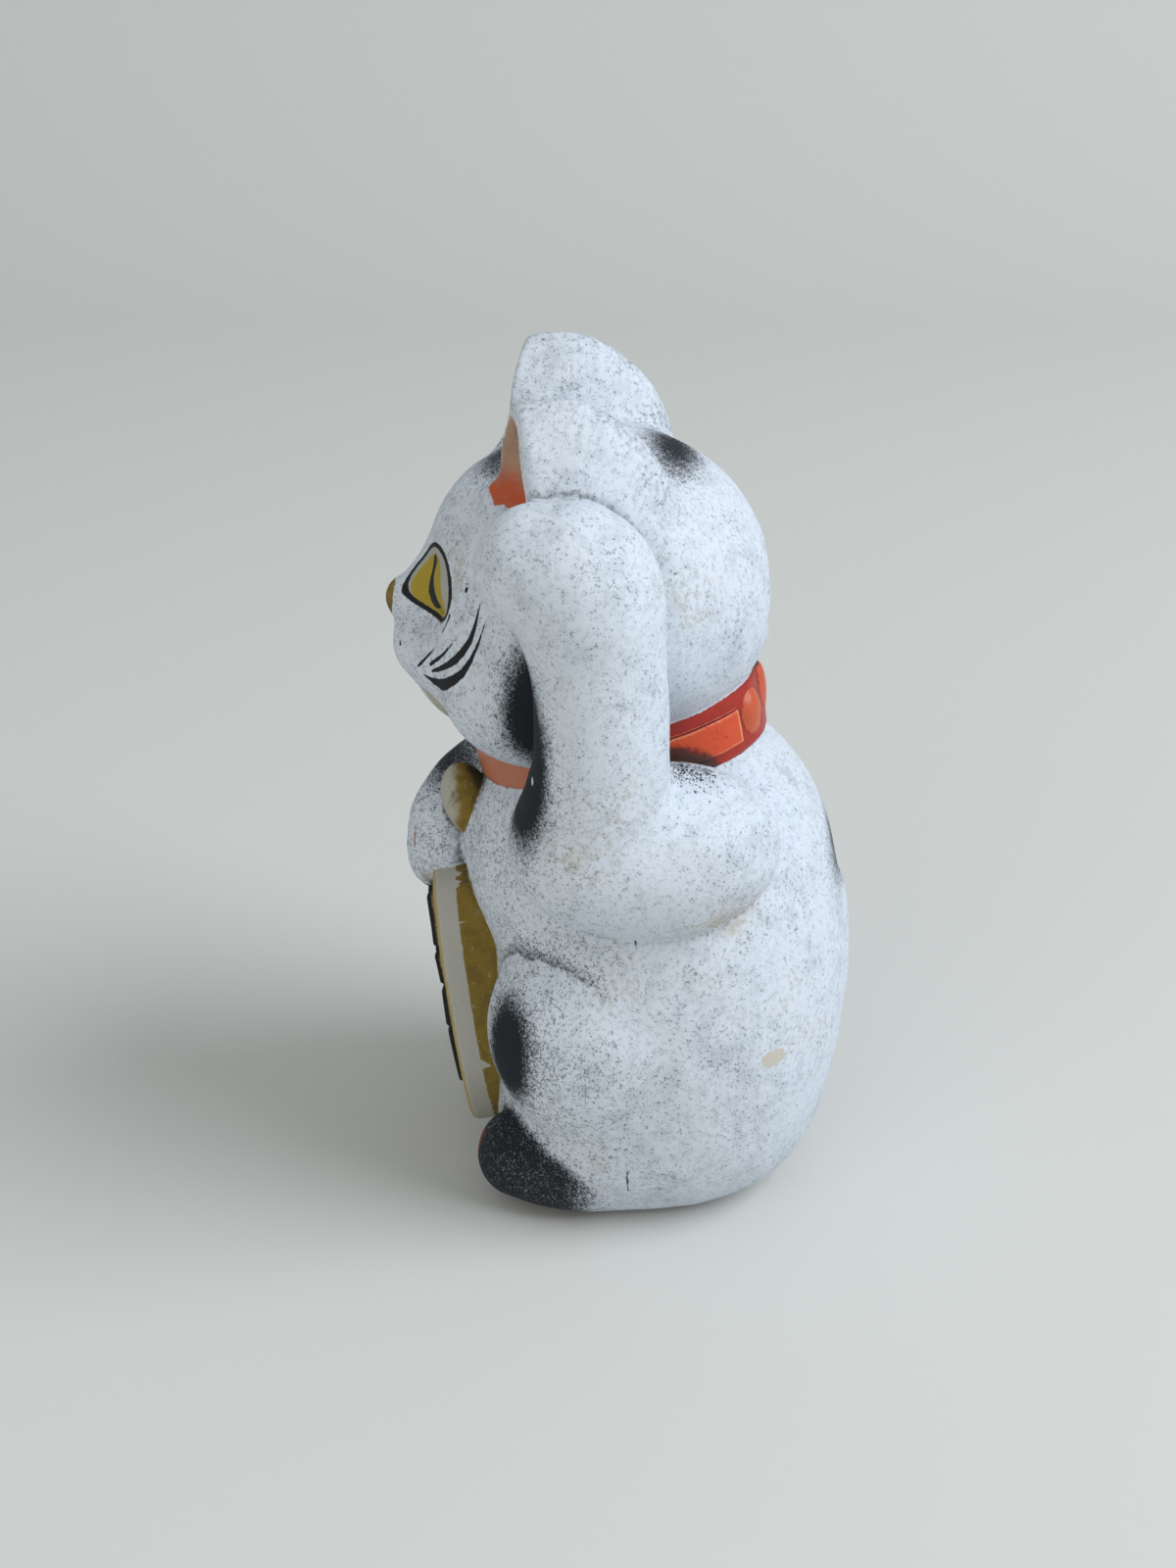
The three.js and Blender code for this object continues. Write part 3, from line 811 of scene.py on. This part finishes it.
def between(tree, value, low, high, out_low=0.0, out_high=1.0):
    """A value carried smoothly from one range to another and held at its ends."""
    sockets = {0: value, 1: low, 2: high, 3: out_low, 4: out_high}
    return add(tree, "ShaderNodeMapRange", sockets, interpolation_type="SMOOTHSTEP").outputs[0]


def uneven(tree, value, noise, strength):
    """A value pushed up and down by noise about its middle."""
    sockets = {0: add(tree, "ShaderNodeMath", {0: noise, 1: 0.5}, operation="SUBTRACT").outputs[0], 1: strength,
               2: value}
    return add(tree, "ShaderNodeMath", sockets, operation="MULTIPLY_ADD").outputs[0]


def layered(tree, under, coats):
    """Coats laid over a colour one after another, each as (mask, colour)."""
    for mask, colour in coats:
        mix = add(tree, "ShaderNodeMix", {0: mask, 6: under, 7: colour}, data_type="RGBA")
        under = mix.outputs[2]
    return under


def painted_clay(colours):
    """Chalky white wash on fired clay, brushed and sprayed with matt colours, with a glossier red
    collar. The wash gives a dry, powdery surface that is cooler where thin and warm where rubbed."""
    material, tree = new_material("painted_clay")
    place = add(tree, "ShaderNodeTexCoord").outputs["Object"]
    value = {name: add(tree, "ShaderNodeAttribute", attribute_name=name).outputs["Fac"]
             for name in MASKS}
    height = add(tree, "ShaderNodeSeparateXYZ", {0: place}).outputs[2]
    depth = add(tree, "ShaderNodeSeparateXYZ", {0: place}).outputs[1]
    fine = grain(tree, place, 0.5, 1.0)
    small = grain(tree, place, 1.3, 2.0, 0.6)
    medium = grain(tree, place, 4.0, 3.0)
    broad = grain(tree, place, 14.0, 4.0, 0.65)
    warm = grain(tree, place, 26.0, 4.0, 0.6, 0.31)
    thin = between(tree, uneven(tree, broad, medium, 0.8), 0.42, 0.80, 0.0, 0.5)
    cloudy = between(tree, uneven(tree, small, fine, 0.5), 0.40, 0.72, 0.0, 0.35)
    # Painted shade: more dark dots on the low front of the cat.
    front_shade_dots = add(tree, "ShaderNodeMath", {0: value["front_shade"], 1: 0.16, 2: -0.05}, operation="MULTIPLY_ADD").outputs[0]
    dots = uneven(tree, uneven(tree, fine, small, 0.6), broad, 0.35)
    dots = add(tree, "ShaderNodeMath", {0: dots, 1: front_shade_dots}, operation="ADD").outputs[0]
    speckle = between(tree, dots, 0.56, 0.76, 0.0, 0.6)
    warm_places = uneven(tree, warm, small, 0.4)
    warm_places = add(tree, "ShaderNodeMath", {0: value["rubbed"], 1: 0.3, 2: warm_places},
                      operation="MULTIPLY_ADD").outputs[0]
    rubbed = between(tree, warm_places, 0.60, 0.86, 0.0, 0.7)
    spray = uneven(tree, uneven(tree, value["soot"], fine, 0.75), small, 0.35)
    sprayed = between(tree, spray, 0.18, 0.92)
    # Painted shade and dirt: dark grey-brown laid in the creases.
    crease_shade_and_dirt = between(tree, uneven(tree, value["crease"], small, 0.5), 0.40, 1.0, 0.0, 0.8)
    pits = uneven(tree, value["pitted"], uneven(tree, fine, small, 0.8), 2.2)
    edges = {name: between(tree, uneven(tree, value[name], small, 0.7), -0.1, 0.2)
             for name in ("collar", "strap", "lobe", "ear_bowl", "nose", "coin", "coin_face", "coin_back",
                          "coin_black", "bell", "slot", "flake", "chips")}
    drawn = {name: between(tree, uneven(tree, value[name], small, 0.3), -0.08, 0.08)
             for name in ("lines", "eye", "iris", "pupil", "claws", "faint_claws", "cracks")}
    faded = between(tree, depth, -0.004, -0.018)
    red = layered(tree, tuple(colours.red), [
        (between(tree, medium, 0.4, 0.7, 0.0, 0.5), linear("#7c1a0c")),
        (edges["strap"], linear("#c2461f")),
        (edges["lobe"], linear("#b8502e")),
        (between(tree, uneven(tree, value["worn_edge"], small, 0.4), 0.25, 0.7, 0.0, 0.7), linear("#dd9a72")),
        (faded, tuple(colours.salmon)),
        # Painted shade: the red darkens in the creases where the collar meets the head and the body.
        (between(tree, uneven(tree, value["crease"], small, 0.3), 0.25, 0.7, 0.0, 0.85), linear("#4e0f08")),
    ])
    ear_colour = layered(tree, tuple(colours.pink), [
        (between(tree, uneven(tree, height, small, 0.004), 0.183, 0.176), linear("#b4532f")),
        (between(tree, medium, 0.45, 0.75, 0.0, 0.4), linear("#8d7a6d")),
    ])
    gold = layered(tree, tuple(colours.gold), [
        (between(tree, medium, 0.45, 0.7, 0.0, 0.6), linear("#5c4c1c")),
        (between(tree, small, 0.6, 0.75, 0.0, 0.5), linear("#a39a7c")),
    ])
    bell_gold = between(tree, uneven(tree, depth, medium, 0.006), -0.0425, -0.0395)
    base = layered(tree, tuple(colours.wash), [
        (thin, tuple(colours.wash_grey)),
        (cloudy, linear("#9aa3ad")),
        (rubbed, tuple(colours.worn)),
        (speckle, linear("#4e575f")),
        (between(tree, value["gold_smudge"], 0.35, 0.7, 0.0, 0.85), gold),
        (edges["coin"], linear("#a8a79e")),
        (edges["coin_back"], gold),
        (edges["coin_face"], linear("#a08f5e")),
        (edges["coin_black"], linear("#15171a")),
        (edges["bell"], linear("#a5a396")),
        (add(tree, "ShaderNodeMath", {0: edges["bell"], 1: bell_gold}, operation="MULTIPLY").outputs[0], gold),
        (edges["nose"], gold),
        (drawn["eye"], linear("#9c9d96")),
        (drawn["iris"], tuple(colours.iris)),
        (drawn["pupil"], linear("#24292b")),
        (sprayed, tuple(colours.soot)),
        (edges["ear_bowl"], ear_colour),
        (edges["collar"], red),
        (crease_shade_and_dirt, linear("#2f2c26")),
        (drawn["lines"], linear("#121517")),
        (drawn["claws"], linear("#96401f")),
        (drawn["faint_claws"], linear("#9b6f62")),
        (drawn["cracks"], linear("#3b3d3c")),
        (between(tree, pits, 0.75, 1.1), linear("#15171a")),
        (edges["flake"], linear("#bab6ac")),
        (edges["chips"], linear("#d9dde0")),
        (edges["slot"], tuple(colours.clay)),
    ])
    rough = add(tree, "ShaderNodeMix", {0: edges["collar"], 2: 0.88, 3: 0.36}, data_type="FLOAT").outputs[0]
    relief_height = add(tree, "ShaderNodeMath", {0: small, 1: 0.8, 2: fine}, operation="MULTIPLY_ADD").outputs[0]
    bump = add(tree, "ShaderNodeBump", {"Height": relief_height, "Strength": 0.5, "Distance": 0.15 * MM})
    shader = add(tree, "ShaderNodeBsdfPrincipled", {
        "Base Color": base, "Roughness": rough, "Normal": bump.outputs[0], "IOR": 1.45})
    add(tree, "ShaderNodeOutputMaterial", {"Surface": shader.outputs[0]})
    return material


MASKS = ("collar", "strap", "lobe", "ear_bowl", "lines", "eye", "iris", "pupil", "nose", "claws", "faint_claws",
         "cracks", "chips", "flake", "coin", "coin_face", "coin_back", "coin_black", "bell", "slot", "soot",
         "front_shade", "rubbed", "gold_smudge", "pitted", "crease", "worn_edge")


def seamless_paper(colours):
    """Pale seamless paper under and behind the cat: flat, without gloss."""
    material, tree = new_material("seamless_paper")
    shader = add(tree, "ShaderNodeBsdfPrincipled", {"Base Color": tuple(colours.floor), "Roughness": 0.9})
    add(tree, "ShaderNodeOutputMaterial", {"Surface": shader.outputs[0]})
    return material


class CAT_OT_clay(bpy.types.Operator):
    """Sculpt the cat's clay, settle its mesh and paint it"""

    bl_idname = "lucky_cat.clay"
    bl_label = "Clay cat"

    def execute(self, context):
        sizes = context.scene.cat_sizes
        relief_rise = sizes.relief / MM
        lump = sizes.lumps / MM
        cell = (sizes.cell / MM)

        def field(points):
            return clay(points, relief_rise, lump)

        low, high = (np.array(corner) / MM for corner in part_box("lucky_cat"))
        values = band_values(field, low - 6, high + 6, cell)
        points, quads = net(values, low - 6, cell)
        points = settled(field, points, cell / 2, 2)
        piece = surface("painted_clay_cat", points, quads)
        if len(quads) * 2 > sizes.triangles:
            fewer = piece.modifiers.new("Fewer triangles", "DECIMATE")
            fewer.ratio = sizes.triangles / (len(quads) * 2)
            applied(piece)
        refined(piece, field, 0.42)
        points = vertex_places(piece.data)
        normals = gradient(field, points, 0.15)
        normals = normals / np.maximum(np.linalg.norm(normals, axis=1, keepdims=True), 1e-6)
        piece.data.shade_smooth()
        piece.data.normals_split_custom_set_from_vertices(normals.tolist())
        masks = {**crisp_masks(points), **soft_masks(points, normals, field)}
        for name in MASKS:
            mask = piece.data.attributes.new(name, "FLOAT", "POINT")
            mask.data.foreach_set("value", np.asarray(masks[name], SINGLE))
        piece.data.materials.append(painted_clay(context.scene.cat_colours))
        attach(piece, "root")
        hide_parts("lucky_cat")
        return {"FINISHED"}


class CAT_OT_stage(bpy.types.Operator):
    """Set the pale floor, the soft light and the camera"""

    bl_idname = "lucky_cat.stage"
    bl_label = "Floor, light and camera"

    def execute(self, context):
        sweep(context.scene.cat_colours)
        lights(context.scene)
        camera(context.scene)
        context.scene.view_settings.view_transform = "Standard"
        return {"FINISHED"}


SWEEP = dict(front=2500, bend=-900, radius=700, height=2500, half_width=4000)
CAMERA = dict(azimuth=91, elevation=24, distance=557, target=(0, -10, 97.5), lens=54, sensor=36)
LIGHTS = {
    "Key": dict(place=(500, 1500, 1500), size=1600, power=42, colour="#f4f8ff"),
    "Fill": dict(place=(1500, -900, 600), size=1500, power=7, colour="#fff6e8"),
}
SKY = ("#e9edf0", 0.62)


def sweep(colours):
    """Seamless floor and wall: a flat run, a quarter circle and an upright run, carried along y."""
    turn = np.linspace(0, np.pi / 2, 24)
    x = np.r_[SWEEP["front"], SWEEP["bend"] - SWEEP["radius"] * np.sin(turn),
              SWEEP["bend"] - SWEEP["radius"]]
    z = np.r_[0, SWEEP["radius"] * (1 - np.cos(turn)), SWEEP["height"]]
    y = np.array([-1, 1]) * SWEEP["half_width"]
    grid = np.stack([np.repeat(x, 2), np.tile(y, len(x)), np.repeat(z, 2)], 1)
    first = np.arange(len(x) - 1) * 2
    faces = np.stack([first, first + 1, first + 3, first + 2], 1)[:, ::-1]
    floor = surface("floor", grid, faces)
    floor.data.materials.append(seamless_paper(colours))


def lights(scene):
    """A large soft key from the cat's back and above, a weak fill and an even sky."""
    for name, light in LIGHTS.items():
        data = bpy.data.lights.new(name, "AREA")
        data.shape = "DISK"
        data.size = light["size"] * MM
        data.energy = light["power"]
        data.color = linear(light["colour"])[:3]
        lamp = bpy.data.objects.new(name, data)
        lamp.location = Vector(light["place"]) * MM
        aim = Vector((0, 0, 90)) * MM - lamp.location
        lamp.rotation_euler = aim.to_track_quat("-Z", "Y").to_euler()
        scene.collection.objects.link(lamp)
    world = bpy.data.worlds.new("Studio")
    world.use_nodes = True
    world.node_tree.nodes.clear()
    colour, strength = SKY
    sky = add(world.node_tree, "ShaderNodeBackground", {"Color": linear(colour), "Strength": strength})
    add(world.node_tree, "ShaderNodeOutputWorld", {"Surface": sky.outputs[0]})
    scene.world = world


def camera(scene):
    """A camera on the photograph's side of the cat, aimed at its middle."""
    azimuth, elevation = np.radians(CAMERA["azimuth"]), np.radians(CAMERA["elevation"])
    back = Vector((np.sin(azimuth) * np.cos(elevation), -np.cos(azimuth) * np.cos(elevation), np.sin(elevation)))
    data = bpy.data.cameras.new("Camera")
    data.lens = CAMERA["lens"]
    data.sensor_width = CAMERA["sensor"]
    data.clip_start = 0.01
    eye = bpy.data.objects.new("Camera", data)
    eye.location = (Vector(CAMERA["target"]) + back * CAMERA["distance"]) * MM
    eye.rotation_euler = (-back).to_track_quat("-Z", "Y").to_euler()
    scene.collection.objects.link(eye)
    scene.camera = eye


class CAT_PT_panel(bpy.types.Panel):
    """The cat's sizes, colours and steps."""

    bl_label = "Lucky cat"
    bl_idname = "CAT_PT_panel"
    bl_space_type = "VIEW_3D"
    bl_region_type = "UI"
    bl_category = "Lucky cat"

    def draw(self, context):
        layout = self.layout
        for group in (context.scene.cat_sizes, context.scene.cat_colours):
            for name in group.__annotations__:
                layout.prop(group, name)
        for step in (CAT_OT_clay, CAT_OT_stage):
            layout.operator(step.bl_idname)


CLASSES = (CatSizes, CatColours, CAT_OT_clay, CAT_OT_stage, CAT_PT_panel)


def register():
    """Adds the classes and their settings to Blender."""
    for each in CLASSES:
        bpy.utils.register_class(each)
    bpy.types.Scene.cat_sizes = bpy.props.PointerProperty(type=CatSizes)
    bpy.types.Scene.cat_colours = bpy.props.PointerProperty(type=CatColours)


def unregister():
    """Takes the classes and their settings out again."""
    del bpy.types.Scene.cat_colours
    del bpy.types.Scene.cat_sizes
    for each in reversed(CLASSES):
        bpy.utils.unregister_class(each)


def main():
    """Builds the cat and its stage."""
    register()
    bpy.ops.lucky_cat.clay()
    bpy.ops.lucky_cat.stage()


if __name__ == "__main__":
    main()
